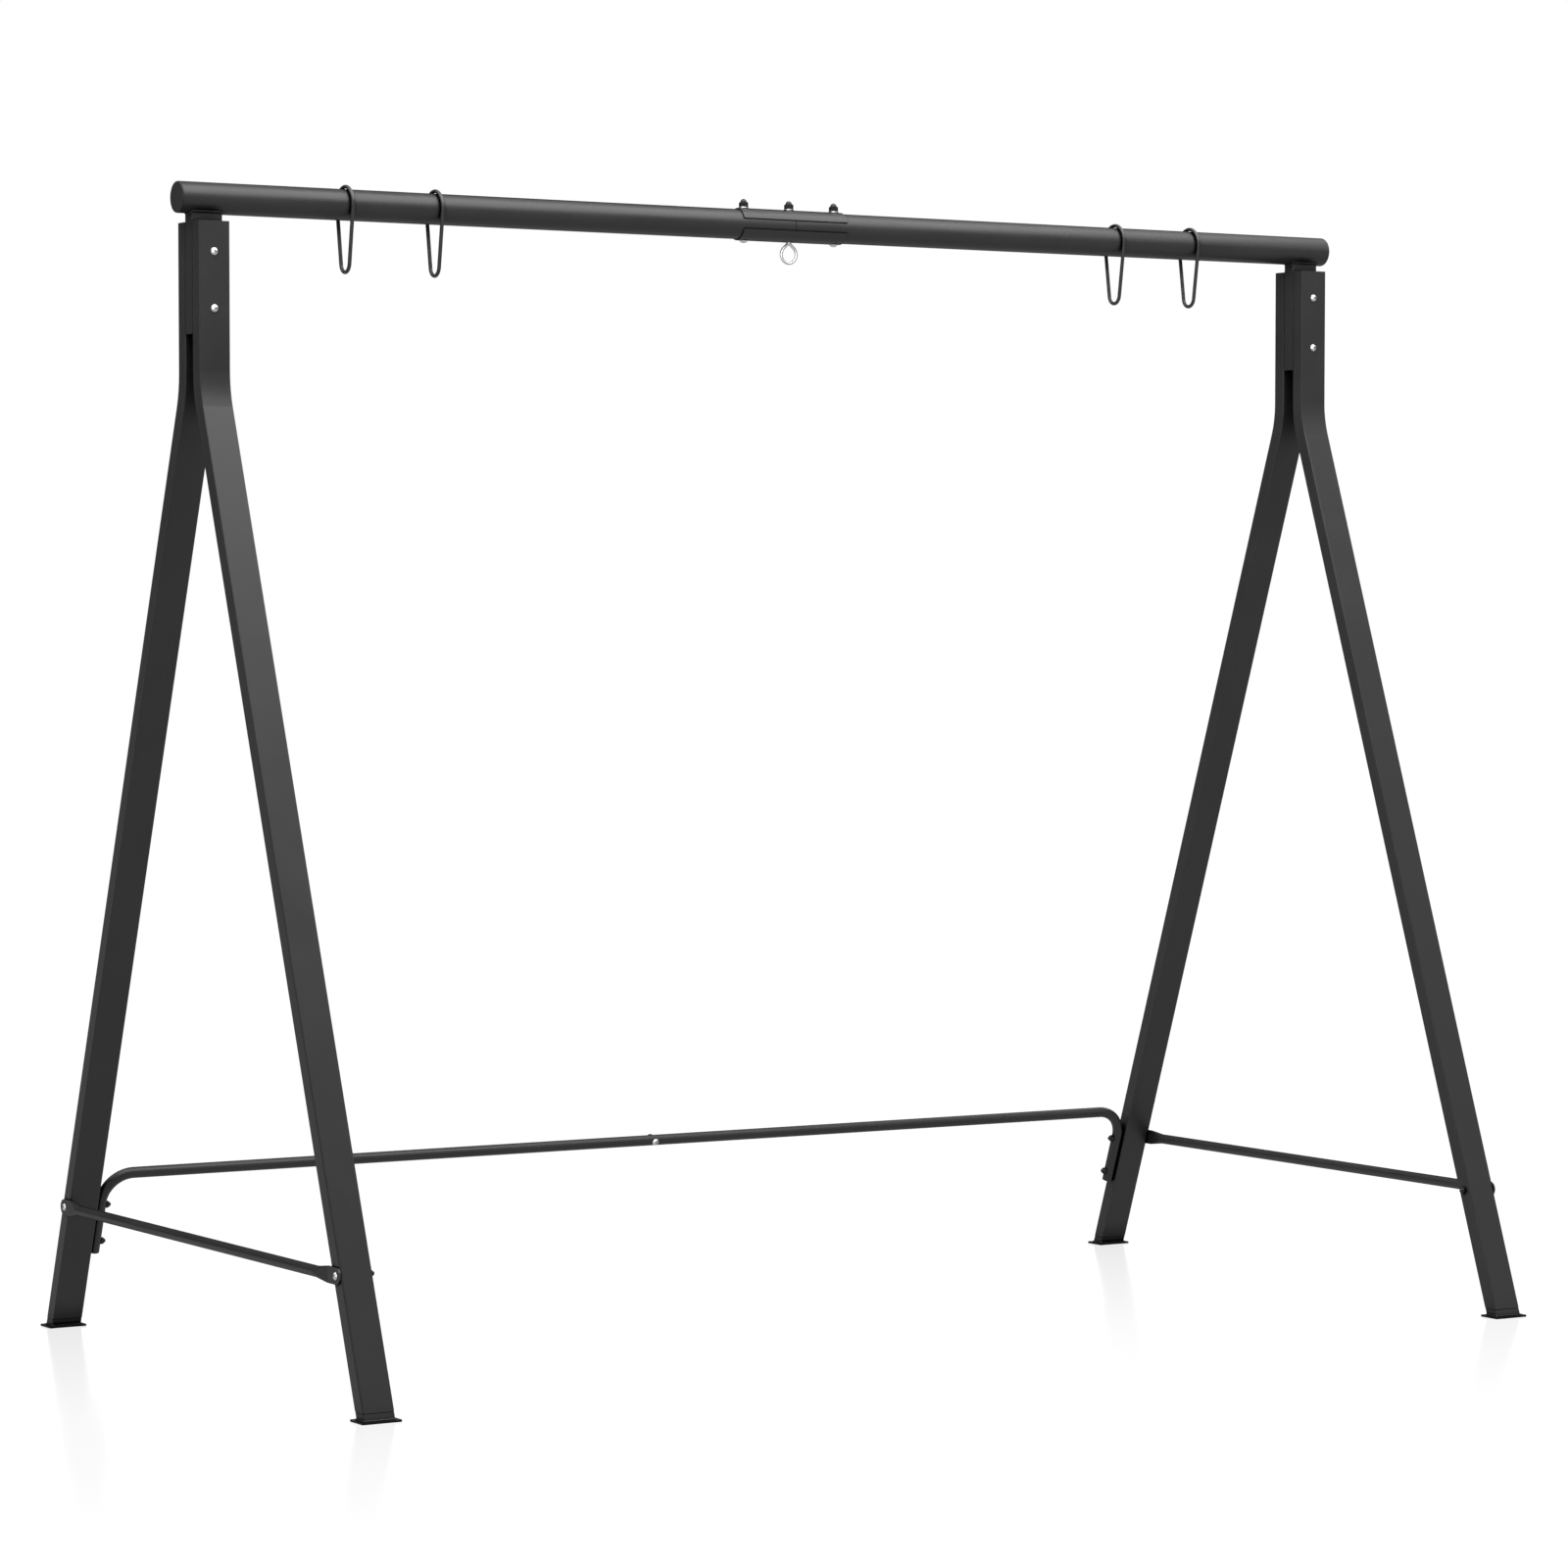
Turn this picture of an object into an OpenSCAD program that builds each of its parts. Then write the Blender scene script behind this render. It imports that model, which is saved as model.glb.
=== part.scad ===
// A-frame swing stand: a two-piece round beam on two pairs of bent legs, with
// end braces, a long rear brace, a clamped beam joint, an eye bolt and four
// wire hangers that swing on the beam.
//
// Millimetres. X runs along the beam, Y to the rear, Z up. The origin is on the
// floor, midway between the four feet.

/* [Beam] */
// Distance between the centre planes of the two end frames
span = 2066; // [1500:2:2400]
// Height of the beam's centre line above the floor
beam_z = 1775; // [1500:5:2000]
// Outside diameter of the beam tube
beam_d = 48; // [44:0.5:52]
// Wall of the beam tube
beam_wall = 2; // [1.2:0.1:3]
// Length of beam beyond the centre plane of an end frame, end cap included
overhang = 44.5; // [32:0.5:80]

/* [Legs and posts] */
// Wide side of the leg and post tube, along the beam
tube_w = 50.8; // [46:0.2:60]
// Narrow side of the leg and post tube
tube_t = 25.4; // [23:0.2:30]
// Wall of the leg and post tube
tube_wall = 1.5; // [1.2:0.1:2.5]
// Outside corner radius of the leg and post tube
tube_r = 2.3; // [2:0.1:5]
// Lean of the lower part of a leg from the vertical, degrees
lean = 19.85; // [15:0.05:24]
// Depth of the knee below the beam's centre line
knee_drop = 288.5; // [270:0.5:340]
// Radius of the bend at the knee, on the centre line of the tube
knee_r = 170; // [100:5:220]
// Depth of the leg's top edge below the beam's centre line
leg_drop = 36; // [30:0.5:44]
// Depth of the post's lower end below the beam's centre line
post_drop = 204.5; // [190:0.5:215]
// Depth of the upper leg bolt below the beam's centre line
bolt_drop = 82; // [70:0.5:90]
// Spacing of the two leg bolts, and of the beam joint's bolts
bolt_pitch = 85; // [70:0.5:90]

/* [Feet] */
// Foot plate along the beam
plate_x = 64; // [58:1:90]
// Foot plate across the beam
plate_y = 42; // [36:1:80]
// Foot plate thickness
plate_t = 3; // [2:0.5:6]
// Height of the welded stub between plate and leg
stub_h = 11; // [6:0.5:20]

/* [Braces] */
// Outside diameter of the two end braces
side_d = 17; // [14:0.5:18]
// Height of the end braces and of the bolt they share with the rear brace
side_z = 202; // [170:1:260]
// Outside diameter of the long rear brace
rear_d = 18; // [16:0.5:20]
// Height of the long rear brace
rear_z = 253; // [240:1:320]
// Distance between the two fixings of the rear brace, along the leg
fix_pitch = 65; // [55:1:90]
// Bend radius of the rear brace, on its centre line
rear_r = 50; // [36:1:52]

/* [Hangers] */
// Distance of the outer hangers from the middle
hang_outer = 796; // [700:1:900]
// Distance of the inner hangers from the middle
hang_inner = 642; // [300:1:660]
// Hanger wire diameter
wire_d = 6; // [5:0.1:6.2]
// Depth of the hanger's lowest point below the beam's centre line
hang_drop = 105.5; // [85:0.5:150]

/* [Hidden] */

hs = span / 2;
br = beam_d / 2;
cap_t = 2;
tube_end = hs + overhang - cap_t;
shell_t = 2;
shell_r = br + shell_t;
shell_half = bolt_pitch + 12.5;
y_out = 1.5 * tube_t;
y_mid = tube_t;
knee_z = beam_z - knee_drop;
leg_top = beam_z - leg_drop;
post_bot = beam_z - post_drop;
wide_half = tube_w / 2;
x_in = hs - wide_half;
x_out = hs + wide_half;
leg_bot = plate_t + stub_h;

// knee: centre lines meet at (y_mid, knee_c)
knee_c = knee_z - (tube_t / 2) * tan(lean / 2);
knee_tan = knee_r * tan(lean / 2);
bend_top = knee_c + knee_tan;
bend_y = y_mid + knee_r * (1 - cos(lean));
bend_z = bend_top - knee_r * sin(lean);

// centre line of the leaning part of a leg, as a distance from the middle plane
function leg_y(z) = y_mid + (knee_c - z) * tan(lean);

side_tab = 3;
fix_low = side_z - fix_pitch * cos(lean);

M6 = 6; M6_hole = 6.6; M6_head = 12; M6_head_h = 3.4; M6_af = 10; M6_hex = 5; M6_nut = 9;
M8 = 8; M8_hole = 8.6; M8_head = 14; M8_head_h = 4; M8_af = 13; M8_hex = 7.7; M8_nut = 13;
washer_t = 1.6;
lap = 0.3;

paint = [0.13, 0.13, 0.135];
zinc = [0.80, 0.81, 0.83];
plastic = [0.09, 0.09, 0.095];

// ---- shapes ----

function rounded(w, h, r, n = 6) = [
  for (q = [0:3], i = [0:n])
    let (sx = (q == 0 || q == 3) ? 1 : -1, sy = (q < 2) ? 1 : -1, a = q * 90 + i * 90 / n)
    [sx * (w / 2 - r) + r * cos(a), sy * (h / 2 - r) + r * sin(a)]
];

// hollow rounded section; trim thins its wall by that much on both faces
module section(w, h, r, wall, trim = 0) {
  difference() {
    polygon(rounded(w - 2 * trim, h - 2 * trim, r - trim));
    polygon(rounded(w - 2 * wall + 2 * trim, h - 2 * wall + 2 * trim, max(r - wall, 0.8) + trim));
  }
}

// bolt along +Z: domed head below z = 0, shank of length len above it
module bolt(d, head, head_h, socket, len) {
  rs = (head * head / 4 + head_h * head_h) / (2 * head_h);
  difference() {
    union() {
      intersection() {
        translate([0, 0, rs - head_h]) sphere(r = rs, $fn = 64);
        translate([0, 0, -head_h - 1]) cylinder(r = head, h = head_h + 1, $fn = 48);
      }
      cylinder(r = d / 2, h = len, $fn = 40);
    }
    translate([0, 0, -head_h - 1]) cylinder(r = socket / 2 / cos(30), h = 1 + head_h * 0.6, $fn = 6);
  }
}

module leg_bolt(len) { bolt(M6, M6_head, M6_head_h, 4, len); }

// domed cap nut standing on z = 0, blind bore from below
module cap_nut(d, af, hex_h, total) {
  rd = total - hex_h;
  e = af / 2 / cos(30);
  difference() {
    union() {
      intersection() {
        cylinder(r = e, h = hex_h, $fn = 6);
        rotate_extrude($fn = 60)
          polygon([[0, 0], [af / 2 + 0.1, 0], [e, 0.5], [e, hex_h - 0.9], [af / 2 - 0.2, hex_h], [0, hex_h]]);
      }
      translate([0, 0, hex_h]) sphere(r = rd, $fn = 48);
    }
    translate([0, 0, -1]) cylinder(r = d / 2 + 0.05, h = hex_h + rd * 0.45 + 1, $fn = 40);
    translate([0, 0, -2 * total]) cylinder(r = af, h = 2 * total, $fn = 24);
  }
}

module m6_nut() { cap_nut(M6, M6_af, M6_hex, M6_nut); }
module m8_nut() { cap_nut(M8, M8_af, M8_hex, M8_nut); }

// ---- beam ----

module beam_half() {
  difference() {
    rotate([0, 90, 0]) rotate_extrude($fn = 96)
      polygon([[br - beam_wall, 0], [br - 0.6, 0], [br, 0.6], [br, tube_end], [br - beam_wall, tube_end]]);
    for (x = [0, bolt_pitch])
      translate([x, 0, -br - 1]) cylinder(r = M8_hole / 2, h = beam_d + 2, $fn = 40);
  }
}

module beam_tube_left() {
  color(paint) translate([0, 0, beam_z]) mirror([1, 0, 0]) beam_half();
}

module beam_tube_right() {
  color(paint) translate([0, 0, beam_z]) beam_half();
}

// pressed-in end cap: a rounded flange as wide as the tube and a ribbed plug
module end_cap() {
  e = 1.2;
  translate([tube_end, 0, 0]) rotate([0, 90, 0]) {
    rotate_extrude($fn = 96)
      polygon(concat([[0, 0], [br - 0.3, 0]],
        [for (a = [0:15:90]) [br - 0.3 - e + e * cos(a), cap_t - e + e * sin(a)]],
        [[0, cap_t]]));
    difference() {
      translate([0, 0, -12]) cylinder(r = br - beam_wall - 0.1, h = 12.5, $fn = 96);
      translate([0, 0, -13]) cylinder(r = br - beam_wall - 2.1, h = 13, $fn = 96);
    }
  }
}

module beam_end_cap_left() {
  color(plastic) translate([0, 0, beam_z]) mirror([1, 0, 0]) end_cap();
}

module beam_end_cap_right() {
  color(plastic) translate([0, 0, beam_z]) end_cap();
}

// ---- posts, welded under the beam ----

module post() {
  difference() {
    translate([hs, 0, post_bot]) linear_extrude(beam_z - post_bot) section(tube_w, tube_t, tube_r, tube_wall);
    translate([hs - tube_w, 0, beam_z]) rotate([0, 90, 0]) cylinder(r = br, h = 2 * tube_w, $fn = 96);
    for (z = [beam_z - bolt_drop, beam_z - bolt_drop - bolt_pitch])
      translate([hs, -tube_t, z]) rotate([-90, 0, 0]) cylinder(r = M6_hole / 2, h = 2 * tube_t, $fn = 40);
  }
}

module post_left() { color(paint) mirror([1, 0, 0]) post(); }
module post_right() { color(paint) post(); }

// ---- beam joint ----

shell_arc = 140;

module shell() {
  difference() {
    translate([-shell_half, 0, 0]) rotate([90, 0, 90]) rotate([0, 0, 90 - shell_arc / 2])
      rotate_extrude(angle = shell_arc, $fn = 96)
        polygon([[br, 0], [shell_r - 0.6, 0], [shell_r, 0.6], [shell_r, 2 * shell_half - 0.6],
                 [shell_r - 0.6, 2 * shell_half], [br, 2 * shell_half]]);
    for (x = [-bolt_pitch, 0, bolt_pitch])
      translate([x, 0, br - 3]) cylinder(r = M8_hole / 2, h = shell_t + 6, $fn = 40);
  }
}

module joint_shell_upper() { color(paint) translate([0, 0, beam_z]) shell(); }
module joint_shell_lower() { color(paint) translate([0, 0, beam_z]) mirror([0, 0, 1]) shell(); }

module joint_bolts() {
  color(zinc) for (x = [-bolt_pitch, bolt_pitch])
    translate([x, 0, beam_z - shell_r]) bolt(M8, M8_head, M8_head_h, 5, 2 * shell_r + washer_t + M8_hex + 1);
}

module joint_washers() {
  color(zinc) for (x = [-bolt_pitch, 0, bolt_pitch])
    translate([x, 0, beam_z + shell_r]) difference() {
      cylinder(r = 8, h = washer_t, $fn = 48);
      translate([0, 0, -1]) cylinder(r = M8_hole / 2, h = washer_t + 2, $fn = 40);
    }
}

module joint_cap_nuts() {
  color(paint) for (x = [-bolt_pitch, 0, bolt_pitch])
    translate([x, 0, beam_z + shell_r + washer_t]) rotate([0, 0, 30]) m8_nut();
}

// eye bolt: pear-shaped eye in the plane of the beam
eye_wire = 5;
eye_r = 14;
eye_apex = shell_r + 0.4;
eye_l = 18.8;
eye_c = eye_apex + eye_l;
eye_a = acos(eye_r / eye_l);

module eye_bolt() {
  color(zinc) translate([0, 0, beam_z]) {
    translate([0, 0, -eye_apex]) cylinder(r = M8 / 2, h = eye_apex + shell_r + washer_t + M8_hex + 1, $fn = 40);
    translate([0, 0, -eye_apex]) sphere(r = M8 / 2, $fn = 40);
    translate([0, 0, -eye_c]) rotate([90, 0, 0]) rotate([0, 0, 90 + eye_a])
      rotate_extrude(angle = 360 - 2 * eye_a, $fn = 96) translate([eye_r, 0]) circle(r = eye_wire / 2 - 0.03, $fn = 32);
    for (s = [0, 1]) mirror([s, 0, 0])
      translate([0, 0, -eye_apex]) rotate([0, 90 + eye_a, 0]) cylinder(r = eye_wire / 2, h = eye_l * sin(eye_a) + lap, $fn = 32);
  }
}

// ---- legs ----

// a leg of the right-hand end frame, on the rear side
module leg(low_fixing) {
  difference() {
    union() {
      translate([hs, y_mid, bend_top - lap]) linear_extrude(leg_top - bend_top + lap) section(tube_w, tube_t, tube_r, tube_wall);
      translate([hs, y_mid + knee_r, bend_top]) mirror([0, 1, 0]) rotate([-90, 0, 90])
        rotate_extrude(angle = lean, $fn = 240) translate([knee_r, 0]) section(tube_t, tube_w, tube_r, tube_wall, 0.02);
      translate([hs, bend_y, bend_z]) rotate([lean, 0, 0]) translate([0, 0, -bend_z / cos(lean) - 5])
        linear_extrude(bend_z / cos(lean) + 5 + lap) section(tube_w, tube_t, tube_r, tube_wall);
    }
    translate([hs - tube_w, 0, leg_bot - 200]) cube([2 * tube_w, 1500, 200]);
    for (z = [beam_z - bolt_drop, beam_z - bolt_drop - bolt_pitch])
      translate([hs, y_mid - tube_t, z]) rotate([-90, 0, 0]) cylinder(r = M6_hole / 2, h = 2 * tube_t, $fn = 40);
    translate([hs - tube_w, leg_y(side_z), side_z]) rotate([0, 90, 0]) cylinder(r = M6_hole / 2, h = 2 * tube_w, $fn = 40);
    if (low_fixing)
      translate([hs - tube_w, leg_y(fix_low), fix_low]) rotate([0, 90, 0]) cylinder(r = M6_hole / 2, h = tube_w, $fn = 40);
  }
}

module leg_front_left() { color(paint) mirror([1, 0, 0]) mirror([0, 1, 0]) leg(false); }
module leg_front_right() { color(paint) mirror([0, 1, 0]) leg(false); }
module leg_back_left() { color(paint) mirror([1, 0, 0]) leg(true); }
module leg_back_right() { color(paint) leg(true); }

// ---- feet ----

spigot_l = 45;
seam = 0.9;

module foot() {
  yc = leg_y(0);
  translate([hs, leg_y(plate_t / 2), 0]) linear_extrude(plate_t) polygon(rounded(plate_x, plate_y, 3));
  difference() {
    translate([hs, yc, 0]) rotate([lean, 0, 0]) union() {
      linear_extrude((leg_bot + 20) / cos(lean)) section(tube_w - 0.6, tube_t - 0.6, tube_r - 0.3, tube_wall);
    }
    translate([hs - tube_w, 0, -50]) cube([2 * tube_w, 1500, 50 + plate_t - 0.5]);
    translate([hs - tube_w, 0, leg_bot]) cube([2 * tube_w, 1500, 200]);
    // groove under the leg's lower edge
    difference() {
      translate([hs - tube_w, yc - 60, leg_bot - seam]) cube([2 * tube_w, 120, seam + 1]);
      translate([hs, yc, 0]) rotate([lean, 0, 0]) linear_extrude(leg_bot + 60)
        polygon(rounded(tube_w - 2.2, tube_t - 2.2, max(tube_r - 1.1, 0.8)));
    }
  }
  difference() {
    translate([hs, yc, 0]) rotate([lean, 0, 0])
      linear_extrude(leg_bot + spigot_l)
        section(tube_w - 2 * tube_wall - 0.4, tube_t - 2 * tube_wall - 0.4, max(tube_r - tube_wall - 0.2, 0.8), 1.5);
    translate([hs - tube_w, 0, -50]) cube([2 * tube_w, 1500, 50 + plate_t - 0.5]);
  }
}

module foot_front_left() { color(paint) mirror([1, 0, 0]) mirror([0, 1, 0]) foot(); }
module foot_front_right() { color(paint) mirror([0, 1, 0]) foot(); }
module foot_back_left() { color(paint) mirror([1, 0, 0]) foot(); }
module foot_back_right() { color(paint) foot(); }

// ---- leg bolts ----

module leg_bolts() {
  color(zinc) for (x = [-hs, hs], z = [beam_z - bolt_drop, beam_z - bolt_drop - bolt_pitch])
    translate([x, -y_out, z]) rotate([-90, 0, 0]) leg_bolt(2 * y_out + M6_hex + 1);
}

module leg_cap_nuts() {
  color(paint) for (x = [-hs, hs], z = [beam_z - bolt_drop, beam_z - bolt_drop - bolt_pitch])
    translate([x, y_out, z]) rotate([-90, 0, 0]) m6_nut();
}

// ---- end braces: round tube with flattened, rounded ends ----

flat_l = 24;
flare_l = 34;
side_y = leg_y(side_z);
side_x = x_out + side_tab / 2;

// height of the flat, the tube's girth kept
tab_h = PI * side_d / 2 - (PI / 2 - 1) * side_tab;

module side_end() {
  // flat tab, its bolt at y = side_y, and the flare into the round tube
  difference() {
    translate([side_x - side_tab / 2, side_y, side_z]) rotate([90, 0, 90]) linear_extrude(side_tab)
      polygon(concat(
        [for (a = [-90:15:90]) [2 + tab_h / 2 * cos(a), tab_h / 2 * sin(a)]],
        [[-flat_l, tab_h / 2], [-flat_l, -tab_h / 2]]));
    translate([side_x - 10, side_y, side_z]) rotate([0, 90, 0]) cylinder(r = M6_hole / 2, h = 20, $fn = 40);
  }
  hull() {
    translate([side_x - side_tab / 2, side_y - flat_l - 0.5, side_z - tab_h / 2]) cube([side_tab, 0.5, tab_h]);
    translate([side_x, side_y - flat_l - flare_l, side_z]) rotate([-90, 0, 0]) cylinder(r = side_d / 2, h = 0.5, $fn = 40);
  }
}

module side_brace() {
  half = side_y - flat_l - flare_l + 0.25;
  for (s = [0, 1]) mirror([0, s, 0]) side_end();
  difference() {
    translate([side_x, -half, side_z]) rotate([-90, 0, 0]) cylinder(r = side_d / 2, h = 2 * half, $fn = 40);
    translate([side_x, -half + 6, side_z]) rotate([-90, 0, 0]) cylinder(r = side_d / 2 - 1.2, h = 2 * half - 12, $fn = 40);
  }
}

module side_brace_left() { color(paint) mirror([1, 0, 0]) side_brace(); }
module side_brace_right() { color(paint) side_brace(); }

// ---- long rear brace, in the plane of the back legs ----

rear_x = x_in - rear_d / 2;
rear_wall = 1.2;
rear_up = (rear_z - side_z) / cos(lean);
rear_end = rear_up + fix_pitch + 18.5;
mid_bolt = 17;

// runs its children in a frame at the middle of the brace: X along the brace, -Z down the leg
module rear_frame() {
  translate([0, leg_y(rear_z), rear_z]) rotate([lean, 0, 0]) children();
}

// section of the rear brace; trim thins it by that much on both faces
module rear_ring(trim = 0) {
  difference() {
    circle(r = rear_d / 2 - trim, $fn = 48);
    circle(r = rear_d / 2 - rear_wall + trim, $fn = 48);
  }
}

// half of the brace on the +X side, from x0 to the bent end
module rear_half(x0) {
  difference() {
    union() {
      translate([x0, 0, 0]) rotate([90, 0, 90]) linear_extrude(rear_x - rear_r - x0 + lap) rear_ring();
      translate([rear_x - rear_r, 0, -rear_r]) rotate([90, 0, 0])
        rotate_extrude(angle = 90, $fn = 96) translate([rear_r, 0]) rear_ring(0.03);
      translate([rear_x, 0, -rear_end]) linear_extrude(rear_end - rear_r + lap) rear_ring();
    }
    for (z = [-rear_up, -rear_up - fix_pitch])
      translate([rear_x - rear_d, 0, z]) rotate([0, 90, 0]) cylinder(r = M6_hole / 2, h = 2 * rear_d, $fn = 40);
  }
}

module rear_brace_right() {
  color(paint) rear_frame() difference() {
    rear_half(0);
    translate([mid_bolt, -rear_d, 0]) rotate([-90, 0, 0]) cylinder(r = M6_hole / 2, h = 2 * rear_d, $fn = 40);
  }
}

// the left half ends in a reduced spigot that slides into the right half
module rear_brace_left() {
  color(paint) rear_frame() {
    mirror([1, 0, 0]) rear_half(0);
    difference() {
      translate([-12, 0, 0]) rotate([0, 90, 0]) cylinder(r = rear_d / 2 - rear_wall - 0.1, h = 52, $fn = 48);
      translate([-13, 0, 0]) rotate([0, 90, 0]) cylinder(r = rear_d / 2 - 2 * rear_wall - 0.1, h = 54, $fn = 48);
      translate([mid_bolt, -rear_d, 0]) rotate([-90, 0, 0]) cylinder(r = M6_hole / 2, h = 2 * rear_d, $fn = 40);
    }
    difference() {
      translate([-12, 0, 0]) rotate([0, 90, 0]) cylinder(r = rear_d / 2 - rear_wall / 2, h = 6, $fn = 48);
      translate([-13, 0, 0]) rotate([0, 90, 0]) cylinder(r = rear_d / 2 - 2 * rear_wall - 0.1, h = 8, $fn = 48);
    }
  }
}

module rear_brace_bolt() {
  color(zinc) rear_frame() translate([mid_bolt, -rear_d / 2, 0]) rotate([-90, 0, 0]) leg_bolt(rear_d + M6_hex + 1);
}

module rear_brace_nut() {
  color(paint) rear_frame() translate([mid_bolt, rear_d / 2, 0]) rotate([-90, 0, 0]) m6_nut();
}

// ---- brace fixings ----

module front_brace_bolts() {
  color(zinc) for (s = [0, 1]) mirror([s, 0, 0])
    translate([x_out + side_tab, -side_y, side_z]) rotate([0, -90, 0]) leg_bolt(side_tab + tube_w + M6_hex + 1);
}

module front_brace_nuts() {
  color(paint) for (s = [0, 1]) mirror([s, 0, 0])
    translate([x_in, -side_y, side_z]) rotate([0, -90, 0]) m6_nut();
}

module back_brace_bolts() {
  color(zinc) for (s = [0, 1]) mirror([s, 0, 0])
    translate([x_out + side_tab, side_y, side_z]) rotate([0, -90, 0]) leg_bolt(side_tab + tube_w + rear_d + M6_hex + 1);
}

module back_brace_nuts() {
  color(paint) for (s = [0, 1], z = [side_z, fix_low]) mirror([s, 0, 0])
    translate([x_in - rear_d, leg_y(z), z]) rotate([0, -90, 0]) m6_nut();
}

// studs fixed in the inner wall of each back leg, for the lower ends of the rear brace
module brace_studs() {
  color(zinc) for (s = [0, 1]) mirror([s, 0, 0])
    translate([x_in + tube_wall, leg_y(fix_low), fix_low]) rotate([0, -90, 0]) {
      cylinder(r = M6 / 2, h = tube_wall + rear_d + M6_hex + 1, $fn = 40);
      translate([0, 0, -3]) cylinder(r = 5, h = 3, $fn = 40);
    }
}

// ---- hangers: closed wire loops riding on the beam ----

hang_R = br + 0.5 + wire_d / 2;
hang_up = 0.2;
hang_r = 14.5;
hang_c = hang_drop - wire_d / 2 - hang_r;
hang_a = asin((hang_R - hang_r) / (hang_c + hang_up));
hang_s = sqrt(pow(hang_c + hang_up, 2) - pow(hang_R - hang_r, 2));

module hanger(x) {
  translate([x, 0, beam_z]) rotate([90, 0, 90]) {
    translate([0, hang_up, 0]) rotate([0, 0, -hang_a])
      rotate_extrude(angle = 180 + 2 * hang_a, $fn = 96) translate([hang_R, 0]) circle(r = wire_d / 2 - 0.03, $fn = 32);
    translate([0, -hang_c, 0]) rotate([0, 0, 180 + hang_a])
      rotate_extrude(angle = 180 - 2 * hang_a, $fn = 96) translate([hang_r, 0]) circle(r = wire_d / 2 - 0.03, $fn = 32);
    for (s = [0, 1]) mirror([s, 0, 0])
      translate([hang_R * cos(hang_a), hang_up - hang_R * sin(hang_a), 0]) rotate([90, 0, -hang_a])
        translate([0, 0, -lap]) cylinder(r = wire_d / 2, h = hang_s + 2 * lap, $fn = 32);
  }
}

module hanger_1() { color(paint) hanger(-hang_outer); }
module hanger_2() { color(paint) hanger(-hang_inner); }
module hanger_3() { color(paint) hanger(hang_inner); }
module hanger_4() { color(paint) hanger(hang_outer); }

beam_tube_left();
beam_tube_right();
beam_end_cap_left();
beam_end_cap_right();
post_left();
post_right();
joint_shell_upper();
joint_shell_lower();
joint_bolts();
joint_washers();
joint_cap_nuts();
eye_bolt();
leg_front_left();
leg_front_right();
leg_back_left();
leg_back_right();
foot_front_left();
foot_front_right();
foot_back_left();
foot_back_right();
leg_bolts();
leg_cap_nuts();
side_brace_left();
side_brace_right();
rear_brace_left();
rear_brace_right();
rear_brace_bolt();
rear_brace_nut();
front_brace_bolts();
front_brace_nuts();
back_brace_bolts();
back_brace_nuts();
brace_studs();
hanger_1();
hanger_2();
hanger_3();
hanger_4();
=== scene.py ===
import math

import bmesh
import bpy
import numpy as np
from mathutils import Matrix, Vector


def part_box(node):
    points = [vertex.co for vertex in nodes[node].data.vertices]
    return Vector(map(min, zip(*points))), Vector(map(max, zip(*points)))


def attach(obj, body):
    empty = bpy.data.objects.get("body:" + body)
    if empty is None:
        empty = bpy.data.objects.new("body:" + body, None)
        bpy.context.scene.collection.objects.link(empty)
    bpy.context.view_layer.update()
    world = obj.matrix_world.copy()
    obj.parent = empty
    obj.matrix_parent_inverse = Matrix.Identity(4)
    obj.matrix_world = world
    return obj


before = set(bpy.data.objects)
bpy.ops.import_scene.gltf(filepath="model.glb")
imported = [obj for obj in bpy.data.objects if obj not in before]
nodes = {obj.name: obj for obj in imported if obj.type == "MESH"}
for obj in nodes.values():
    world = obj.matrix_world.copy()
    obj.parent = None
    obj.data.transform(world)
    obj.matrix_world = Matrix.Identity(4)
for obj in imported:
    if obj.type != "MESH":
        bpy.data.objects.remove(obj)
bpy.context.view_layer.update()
scene = bpy.context.scene


# ------------------------------------------------------------------ materials

class Tree:
    """Small helper that adds and joins shader nodes."""

    def __init__(self, name):
        self.mat = bpy.data.materials.new(name)
        self.mat.use_nodes = True
        self.t = self.mat.node_tree
        self.t.nodes.clear()

    def add(self, kind, **values):
        n = self.t.nodes.new(kind)
        for k, v in values.items():
            if k in n.inputs:
                n.inputs[k].default_value = v
            else:
                setattr(n, k, v)
        return n

    def link(self, a, b):
        self.t.links.new(a, b)

    def ramp(self, source, stops):
        n = self.add("ShaderNodeValToRGB")
        e = n.color_ramp.elements
        while len(e) > 1:
            e.remove(e[-1])
        for i, (p, c) in enumerate(stops):
            el = e[0] if i == 0 else e.new(p)
            el.position = p
            el.color = c if len(c) == 4 else (*c, 1)
        self.link(source, n.inputs[0])
        return n.outputs["Color"]

    def remap(self, source, a, b, lo, hi):
        n = self.add("ShaderNodeMapRange")
        n.inputs["From Min"].default_value = a
        n.inputs["From Max"].default_value = b
        n.inputs["To Min"].default_value = lo
        n.inputs["To Max"].default_value = hi
        self.link(source, n.inputs["Value"])
        return n.outputs["Result"]

    def noise(self, scale, detail=2.0, rough=0.5, vector=None):
        n = self.add("ShaderNodeTexNoise")
        n.inputs["Scale"].default_value = scale
        n.inputs["Detail"].default_value = detail
        n.inputs["Roughness"].default_value = rough
        if vector is not None:
            self.link(vector, n.inputs["Vector"])
        return n.outputs["Fac"]


def times(t, a, b):
    m = t.add("ShaderNodeMath", operation="MULTIPLY")
    t.link(a, m.inputs[0])
    if isinstance(b, float):
        m.inputs[1].default_value = b
    else:
        t.link(b, m.inputs[1])
    return m.outputs[0]


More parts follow.
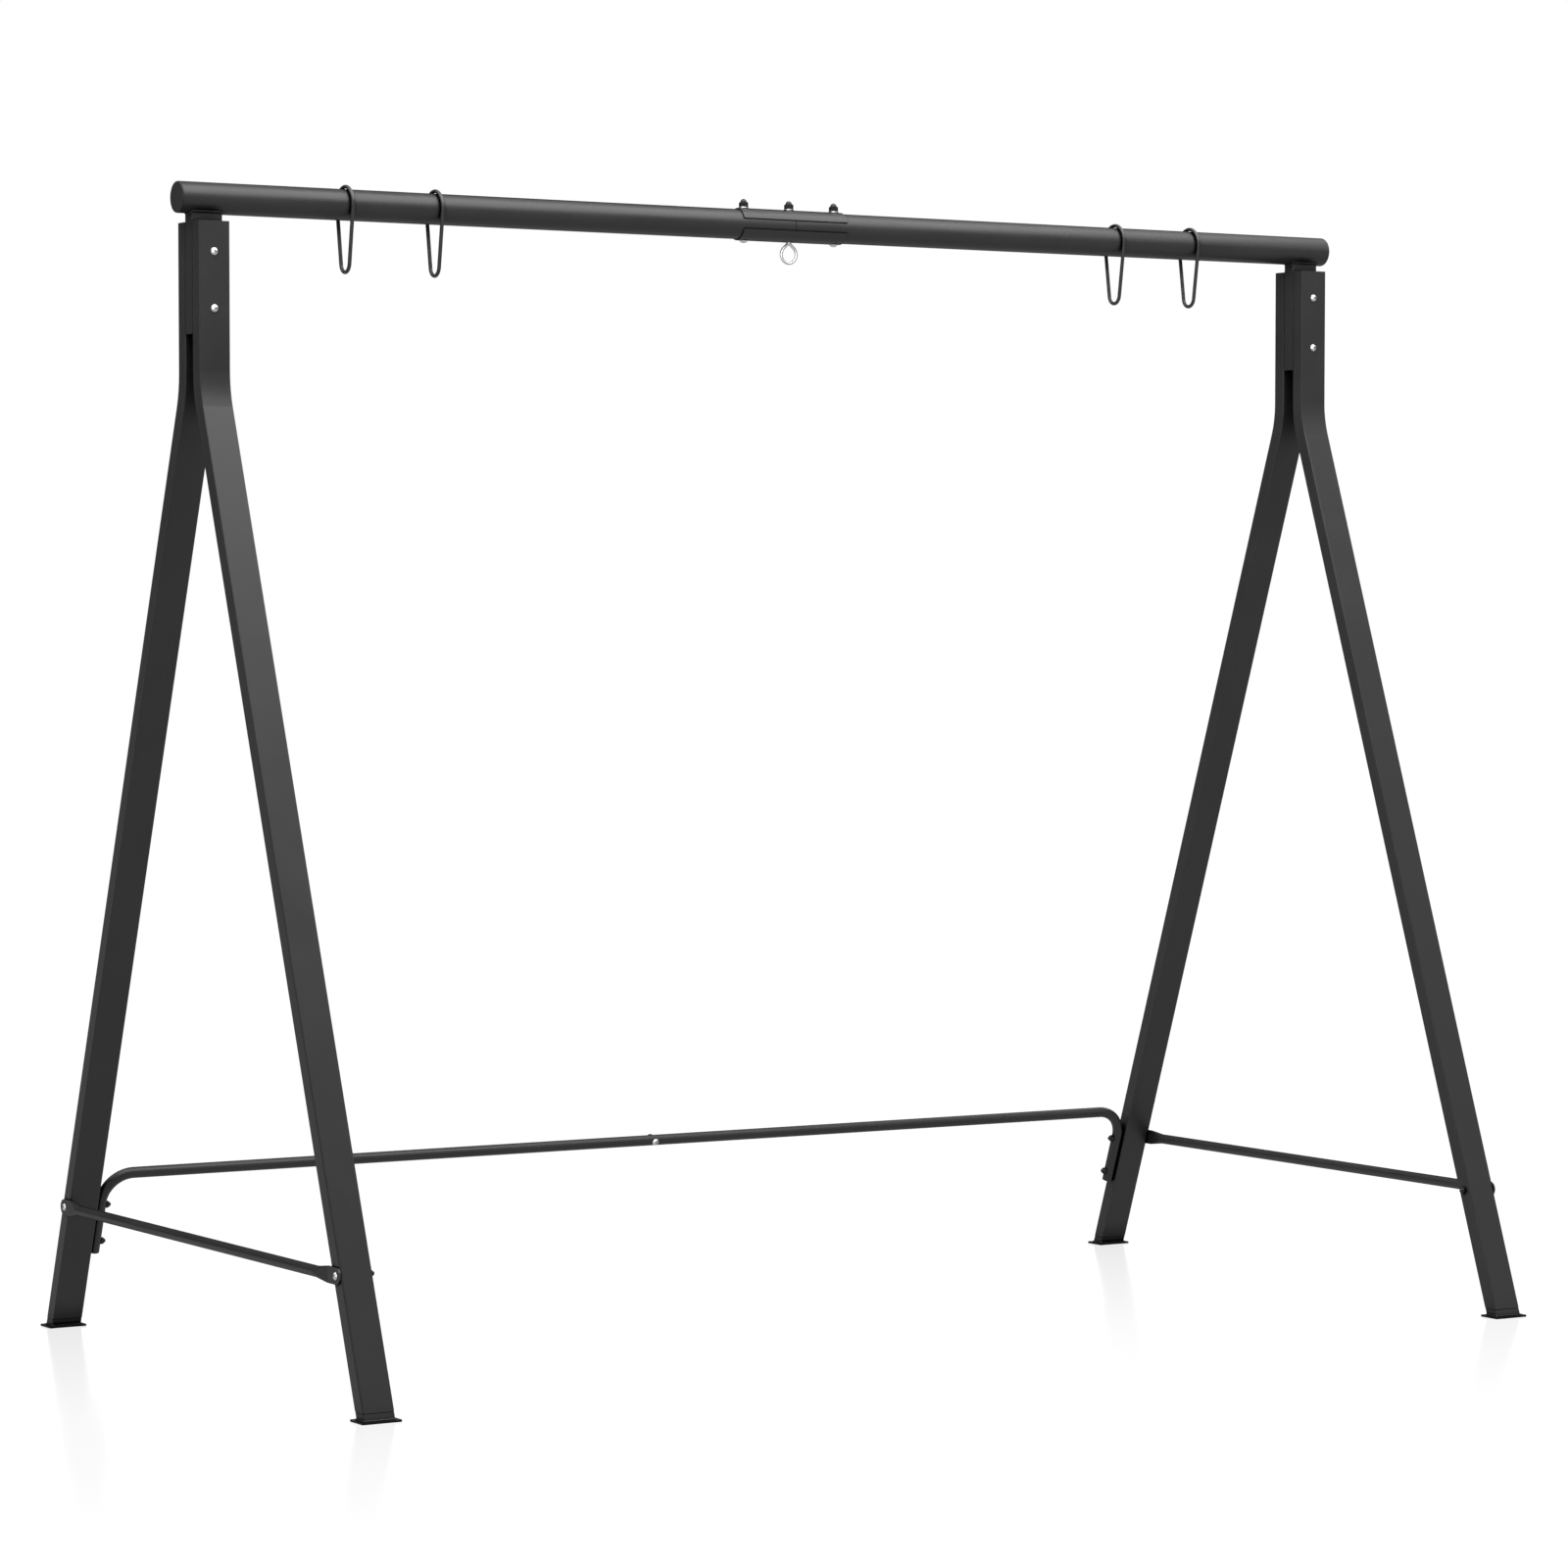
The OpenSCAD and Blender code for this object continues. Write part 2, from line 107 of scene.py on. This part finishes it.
def painted_shade_factor(t, ao_dist=0.006, ao_lo=0.50, ao_hi=0.93, rim_from=0.62, rim_to=0.92, rim_low=0.22):
    """Painted shade: a factor that goes dark in corners and recesses, near neighbouring parts, and at edges turned
    away from the view.
    """
    # painted shade close to other parts and in corners, short reach
    ao = t.add("ShaderNodeAmbientOcclusion", samples=6)
    ao.inputs["Distance"].default_value = ao_dist
    a = t.remap(ao.outputs["AO"], ao_lo, ao_hi, 0.02, 1.0)
    # painted shade under and between parts, longer reach
    deep = t.add("ShaderNodeAmbientOcclusion", samples=5)
    deep.inputs["Distance"].default_value = 0.06
    d = t.remap(deep.outputs["AO"], 0.30, 0.76, 0.04, 1.0)
    # painted shade at edges seen at a grazing angle
    lw = t.add("ShaderNodeLayerWeight", Blend=0.5)
    r = t.remap(lw.outputs["Facing"], rim_from, rim_to, 1.0, rim_low)
    return times(t, times(t, a, d), r)


def shade(t, colour, factor):
    n = t.add("ShaderNodeVectorMath", operation="SCALE")
    t.link(colour, n.inputs[0])
    t.link(factor, n.inputs["Scale"])
    return n.outputs[0]


def powder(name, base, rough, peel=0.35, spec=0.5, rim=(0.60, 0.90, 0.12)):
    """Satin powder coat: orange peel, fine grain, slow cloudiness, faint dust, and painted shade in corners, under
    neighbouring parts and at turned-away edges.
    """
    t = Tree(name)
    out = t.add("ShaderNodeOutputMaterial")
    p = t.add("ShaderNodeBsdfPrincipled")
    t.link(p.outputs[0], out.inputs[0])
    co = t.add("ShaderNodeTexCoord").outputs["Object"]
    peel_n = t.noise(520, 2.0, 0.45, co)
    grain = t.noise(2600, 2.0, 0.6, co)
    cloud = t.noise(9, 3.0, 0.55, co)
    speck = t.noise(1500, 1.0, 0.5, co)
    # colour: slow cloudiness and rare lighter specks of dust
    dark = tuple(c * 0.90 for c in base)
    light = tuple(c * 1.12 for c in base)
    body = t.ramp(cloud, [(0.30, dark), (0.70, light)])
    dust = t.remap(speck, 0.70, 0.80, 0.0, 0.22)
    mix = t.add("ShaderNodeMix", data_type="RGBA")
    t.link(dust, mix.inputs[0])
    t.link(body, mix.inputs[6])
    mix.inputs[7].default_value = (*[min(1, c * 2.2 + 0.01) for c in base], 1)
    # painted shade in corners, under neighbouring parts and at turned-away edges, multiplied into the colour
    painted_shade = painted_shade_factor(t, rim_from=rim[0], rim_to=rim[1], rim_low=rim[2])
    t.link(shade(t, mix.outputs[2], painted_shade), p.inputs["Base Color"])
    # roughness: a little glossier where handled, duller in the cloudy parts
    r = t.remap(cloud, 0.25, 0.75, rough - 0.05, rough + 0.06)
    r2 = t.remap(grain, 0.2, 0.8, -0.03, 0.03)
    add = t.add("ShaderNodeMath", operation="ADD")
    t.link(r, add.inputs[0])
    t.link(r2, add.inputs[1])
    t.link(add.outputs[0], p.inputs["Roughness"])
    # bump: orange peel with a finer grain on top
    b1 = t.add("ShaderNodeBump", Strength=peel, Distance=0.00012)
    t.link(peel_n, b1.inputs["Height"])
    b2 = t.add("ShaderNodeBump", Strength=peel * 0.6, Distance=0.00003)
    t.link(grain, b2.inputs["Height"])
    t.link(b1.outputs[0], b2.inputs["Normal"])
    t.link(b2.outputs[0], p.inputs["Normal"])
    # the same painted shade also dims the reflection
    t.link(times(t, painted_shade, spec), p.inputs["Specular IOR Level"])
    return t.mat


def zinc(name, tint, rough):
    """Bright zinc plate on turned and drawn steel."""
    t = Tree(name)
    out = t.add("ShaderNodeOutputMaterial")
    p = t.add("ShaderNodeBsdfPrincipled")
    t.link(p.outputs[0], out.inputs[0])
    p.inputs["Metallic"].default_value = 1.0
    co = t.add("ShaderNodeTexCoord").outputs["Object"]
    blotch = t.noise(260, 3.0, 0.6, co)
    fine = t.noise(3200, 2.0, 0.5, co)
    body = t.ramp(blotch, [(0.3, tuple(c * 0.95 for c in tint)), (0.7, tint)])
    # painted shade multiplied into the base colour: darker close to other parts and at turned-away edges
    ao = t.add("ShaderNodeAmbientOcclusion", samples=6)
    ao.inputs["Distance"].default_value = 0.004
    a = t.remap(ao.outputs["AO"], 0.35, 0.85, 0.30, 1.0)
    lw = t.add("ShaderNodeLayerWeight", Blend=0.5)
    r = t.remap(lw.outputs["Facing"], 0.55, 0.98, 1.0, 0.42)
    t.link(shade(t, body, times(t, a, r)), p.inputs["Base Color"])
    t.link(t.remap(blotch, 0.3, 0.7, rough - 0.04, rough + 0.08), p.inputs["Roughness"])
    b = t.add("ShaderNodeBump", Strength=0.25, Distance=0.00004)
    t.link(fine, b.inputs["Height"])
    t.link(b.outputs[0], p.inputs["Normal"])
    return t.mat


def plastic(name, base, rough):
    """Moulded polyethylene with a fine even grain."""
    t = Tree(name)
    out = t.add("ShaderNodeOutputMaterial")
    p = t.add("ShaderNodeBsdfPrincipled")
    t.link(p.outputs[0], out.inputs[0])
    co = t.add("ShaderNodeTexCoord").outputs["Object"]
    v = t.add("ShaderNodeTexVoronoi", Scale=1900.0)
    t.link(co, v.inputs["Vector"])
    slow = t.noise(60, 2.0, 0.5, co)
    # painted shade in corners, near other parts and at turned-away edges, in colour and reflection
    painted_shade = painted_shade_factor(t)
    body = t.ramp(slow, [(0.3, tuple(c * 0.92 for c in base)), (0.7, tuple(c * 1.08 for c in base))])
    t.link(shade(t, body, painted_shade), p.inputs["Base Color"])
    t.link(times(t, painted_shade, 0.4), p.inputs["Specular IOR Level"])
    t.link(t.remap(slow, 0.3, 0.7, rough - 0.04, rough + 0.05), p.inputs["Roughness"])
    b = t.add("ShaderNodeBump", Strength=0.35, Distance=0.00005)
    t.link(v.outputs["Distance"], b.inputs["Height"])
    t.link(b.outputs[0], p.inputs["Normal"])
    return t.mat


M_POWDER = powder("powder_black", (0.0255, 0.0255, 0.026), 0.40)
# the wire's copy of the coat: weaker painted edge shade and a stronger reflection, so the thin wire reads lighter
M_HANGER = powder("powder_black_wire", (0.026, 0.026, 0.0265), 0.36, 0.25, 0.7, (0.72, 0.95, 0.15))
M_NUT = powder("black_hardware", (0.018, 0.018, 0.0185), 0.34, 0.2)
M_ZINC = zinc("bright_zinc", (0.86, 0.865, 0.875), 0.38)
M_PLASTIC = plastic("black_plastic", (0.026, 0.026, 0.0265), 0.52)

SLOTS = {"powder_black": M_POWDER, "black_hardware": M_NUT, "bright_zinc": M_ZINC, "black_plastic": M_PLASTIC}

for n, o in nodes.items():
    for s in o.material_slots:
        key = (s.material.name if s.material else "powder_black").split(".")[0]
        s.material = M_HANGER if n.startswith("hanger_") else SLOTS.get(key, M_POWDER)

# ------------------------------------------------------------------ weld beads

def bead(name, path, radius, pitch=0.0016, lift=0.14, ring=10):
    """Closed rippled weld bead along a closed path of (point, outward) pairs."""
    pts = [Vector(p) for p, _ in path]
    outs = [Vector(o).normalized() for _, o in path]
    n = len(pts)
    bm = bmesh.new()
    rows, run = [], 0.0
    for i in range(n):
        tan = (pts[(i + 1) % n] - pts[i - 1]).normalized()
        up = tan.cross(outs[i]).normalized()
        wave = abs(math.sin(math.pi * run / pitch))
        r = radius * (1 - lift + lift * wave) * (1 + 0.05 * math.sin(37 * run / radius * 0.02 + i * 0.13))
        rows.append([bm.verts.new(pts[i] + r * (math.cos(a) * outs[i] + math.sin(a) * up))
                     for a in (2 * math.pi * k / ring for k in range(ring))])
        run += (pts[(i + 1) % n] - pts[i]).length
    for i in range(n):
        a, b = rows[i], rows[(i + 1) % n]
        for k in range(ring):
            bm.faces.new((a[k], a[(k + 1) % ring], b[(k + 1) % ring], b[k]))
    bmesh.ops.recalc_face_normals(bm, faces=bm.faces)
    for f in bm.faces:
        f.smooth = True
    me_ = bpy.data.meshes.new(name)
    bm.to_mesh(me_)
    bm.free()
    o = bpy.data.objects.new(name, me_)
    scene.collection.objects.link(o)
    me_.materials.append(M_POWDER)
    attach(o, "frame")
    return o


def rounded_path(hx, hy, r, step=0.0004):
    """Points and outward directions around a rounded rectangle centred on the origin."""
    out = []
    sides = [((hx, -(hy - r)), (hx, hy - r), (1, 0)), ((hx - r, hy), (-(hx - r), hy), (0, 1)),
             ((-hx, hy - r), (-hx, -(hy - r)), (-1, 0)), ((-(hx - r), -hy), (hx - r, -hy), (0, -1))]
    corners = [(hx - r, hy - r, 0), (-(hx - r), hy - r, 90), (-(hx - r), -(hy - r), 180), (hx - r, -(hy - r), 270)]
    for (a, b, nrm), (cx, cy, start) in zip(sides, corners):
        k = max(2, int(math.dist(a, b) / step))
        for i in range(k):
            f = i / k
            out.append(((a[0] + (b[0] - a[0]) * f, a[1] + (b[1] - a[1]) * f), nrm))
        k = max(3, int(r * math.pi / 2 / step))
        for i in range(k):
            g = math.radians(start + 90 * i / k)
            out.append(((cx + r * math.cos(g), cy + r * math.sin(g)), (math.cos(g), math.sin(g))))
    return out


beam_lo, beam_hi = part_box("beam_tube_left")
beam_r = (beam_hi[2] - beam_lo[2]) / 2
axis_z = (beam_hi[2] + beam_lo[2]) / 2
for side in ("left", "right"):
    lo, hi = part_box("post_" + side)
    cx, hx, hy = (lo[0] + hi[0]) / 2, (hi[0] - lo[0]) / 2, (hi[1] - lo[1]) / 2
    path = []
    for (x, y), (nx, ny) in rounded_path(hx, hy, 0.0023):
        z = axis_z - math.sqrt(beam_r ** 2 - y ** 2)
        path.append(((cx + x + 0.0002 * nx, y + 0.0002 * ny, z - 0.0003), (nx * 0.8, ny * 0.8, -0.5)))
    bead("weld_post_" + side, path, 0.0021)

lean = math.radians(19.85)
for side in ("left", "right"):
    for end in ("front", "back"):
        lo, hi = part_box("foot_%s_%s" % (end, side))
        sy = -1 if end == "front" else 1
        cx = (lo[0] + hi[0]) / 2
        # plate and stub leave the floor at the outer edge of the box
        plate_edge = hi[1] if sy > 0 else lo[1]
        cy = plate_edge - sy * (0.021 + 0.0015 * math.tan(lean))
        path = [((cx + x, cy + y, 0.0031), (nx, ny, 0.35)) for (x, y), (nx, ny) in
                rounded_path(0.0251, 0.0125 / math.cos(lean), 0.002)]
        bead("weld_foot_%s_%s" % (end, side), path, 0.0019)

# ------------------------------------------------------------------ floor, light and camera

me = bpy.data.meshes.new("floor")
bm = bmesh.new()
bmesh.ops.create_grid(bm, x_segments=8, y_segments=8, size=30)
bm.to_mesh(me)
bm.free()
floor = bpy.data.objects.new("floor", me)
scene.collection.objects.link(floor)

t = Tree("floor_white")
out = t.add("ShaderNodeOutputMaterial")
path = t.add("ShaderNodeLightPath")
# gloss is strongest at each foot and fades away from it
place = t.add("ShaderNodeNewGeometry").outputs["Position"]
gloss_k = None
for n in ("foot_front_left", "foot_front_right", "foot_back_left", "foot_back_right"):
    lo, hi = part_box(n)
    d = t.add("ShaderNodeVectorMath", operation="DISTANCE")
    t.link(place, d.inputs[0])
    d.inputs[1].default_value = ((lo[0] + hi[0]) / 2, (lo[1] + hi[1]) / 2, 0)
    strength, reach = (0.26, 1.15) if "front" in n else (0.40, 1.6)
    k = t.remap(d.outputs["Value"], 0.0, reach, strength, 0.0)
    if gloss_k is None:
        gloss_k = k
    else:
        m = t.add("ShaderNodeMath", operation="MAXIMUM")
        t.link(gloss_k, m.inputs[0])
        t.link(k, m.inputs[1])
        gloss_k = m.outputs[0]
# what the camera sees: white with a weak, blurred mirror of what stands on it
level = t.add("ShaderNodeMath", operation="MULTIPLY_ADD")
t.link(gloss_k, level.inputs[0])
level.inputs[1].default_value = -0.55
level.inputs[2].default_value = 1.03
glow = t.add("ShaderNodeEmission", Color=(1, 1, 1, 1))
t.link(level.outputs[0], glow.inputs["Strength"])
gloss = t.add("ShaderNodeBsdfGlossy", Roughness=0.17)
t.link(gloss_k, gloss.inputs["Color"])
seen = t.add("ShaderNodeAddShader")
t.link(glow.outputs[0], seen.inputs[0])
t.link(gloss.outputs[0], seen.inputs[1])
# what lights the object: a plain pale floor
pale = t.add("ShaderNodeEmission", Color=(1, 1, 1, 1), Strength=0.47)
mixs = t.add("ShaderNodeMixShader")
t.link(path.outputs["Is Camera Ray"], mixs.inputs[0])
t.link(pale.outputs[0], mixs.inputs[1])
t.link(seen.outputs[0], mixs.inputs[2])
t.link(mixs.outputs[0], out.inputs[0])
floor.data.materials.append(t.mat)

AMBIENT = 0.07
OVERHEAD = 0.35
#         azimuth, elevation, inner, outer, strength
PANELS = [(-118, 50, 6, 28, 2.4),
          (180, 74, 4, 18, 2.6),
          (40, 22, 4, 21, 1.35),
          (-58, 8, 4, 15, 4.0),
          (108, 32, 6, 26, 2.2)]

world = bpy.data.worlds.new("studio")
scene.world = world
world.use_nodes = True
wt = world.node_tree
wt.nodes.clear()
wo = wt.nodes.new("ShaderNodeOutputWorld")
bg_cam = wt.nodes.new("ShaderNodeBackground")
bg_cam.inputs[0].default_value = (1, 1, 1, 1)
bg_cam.inputs[1].default_value = 1.0
bg_lit = wt.nodes.new("ShaderNodeBackground")
tc = wt.nodes.new("ShaderNodeTexCoord")


def wmath(op, a, b):
    n = wt.nodes.new("ShaderNodeMath")
    n.operation = op
    for i, v in enumerate((a, b)):
        if isinstance(v, (int, float)):
            n.inputs[i].default_value = v
        else:
            wt.links.new(v, n.inputs[i])
    return n.outputs[0]


def wmap(source, a, b, lo, hi):
    n = wt.nodes.new("ShaderNodeMapRange")
    n.interpolation_type = "SMOOTHSTEP"
    for k, v in (("From Min", a), ("From Max", b), ("To Min", lo), ("To Max", hi)):
        n.inputs[k].default_value = v
    wt.links.new(source, n.inputs["Value"])
    return n.outputs[0]


def panel(azimuth, elevation, inner, outer, strength):
    """Round soft light far away; azimuth is measured from -Y towards +X, degrees."""
    a, e = math.radians(azimuth), math.radians(elevation)
    n = wt.nodes.new("ShaderNodeVectorMath")
    n.operation = "DOT_PRODUCT"
    wt.links.new(tc.outputs["Generated"], n.inputs[0])
    n.inputs[1].default_value = (math.sin(a) * math.cos(e), -math.cos(a) * math.cos(e), math.sin(e))
    return wmap(n.outputs["Value"], math.cos(math.radians(outer)), math.cos(math.radians(inner)), 0.0, strength)


sep = wt.nodes.new("ShaderNodeSeparateXYZ")
wt.links.new(tc.outputs["Generated"], sep.inputs[0])
total = wmap(sep.outputs["Z"], 0.35, 1.0, AMBIENT, OVERHEAD)
for spec_ in PANELS:
    total = wmath("ADD", total, panel(*spec_))
# low white wall behind, seen mirrored in the floor
wall = wmath("MULTIPLY", panel(180 - 31, 2, 16, 30, 1.0), wmap(sep.outputs["Z"], 0.16, 0.30, 1.0, 0.0))
total = wmath("MAXIMUM", total, wall)
wt.links.new(total, bg_lit.inputs[1])
lp = wt.nodes.new("ShaderNodeLightPath")
ms = wt.nodes.new("ShaderNodeMixShader")
wt.links.new(lp.outputs["Is Camera Ray"], ms.inputs[0])
wt.links.new(bg_lit.outputs[0], ms.inputs[1])
wt.links.new(bg_cam.outputs[0], ms.inputs[2])
wt.links.new(ms.outputs[0], wo.inputs[0])


def softbox(name, at, look, size, power):
    d = bpy.data.lights.new(name, "AREA")
    d.shape = "RECTANGLE"
    d.size, d.size_y = size
    d.energy = power
    o = bpy.data.objects.new(name, d)
    o.location = at
    o.rotation_euler = (Vector(look) - Vector(at)).to_track_quat("-Z", "Y").to_euler()
    o.visible_camera = False
    scene.collection.objects.link(o)
    return o


ZINC = ["joint_bolts", "joint_washers", "eye_bolt", "leg_bolts", "rear_brace_bolt",
        "front_brace_bolts", "back_brace_bolts", "brace_studs"]
lit = bpy.data.collections.new("zinc_receivers")
for n in ZINC:
    lit.objects.link(nodes[n])
softbox("key", (-0.2, -1.05, 3.4), (-0.2, -0.83, 2.43), (5.0, 2.25), 128)
card = softbox("card_front", (-3.0, -5.0, 2.0), (0, 0, 1.1), (6.5, 5.5), 200)
card.light_linking.receiver_collection = lit

cam_d = bpy.data.cameras.new("camera")
cam_d.sensor_width = 36
cam_d.lens = 113.21
cam_d.shift_x = 0.0228
cam_d.shift_y = 0.0511
cam_d.clip_start = 0.1
cam_d.clip_end = 100
cam = bpy.data.objects.new("camera", cam_d)
cam.location = (-4.17945, -6.81252, 1.13657)
cam.rotation_euler = (math.radians(87.20), 0, math.radians(-31.061))
scene.collection.objects.link(cam)
scene.camera = cam

scene.view_settings.view_transform = "Standard"
scene.view_settings.look = "None"
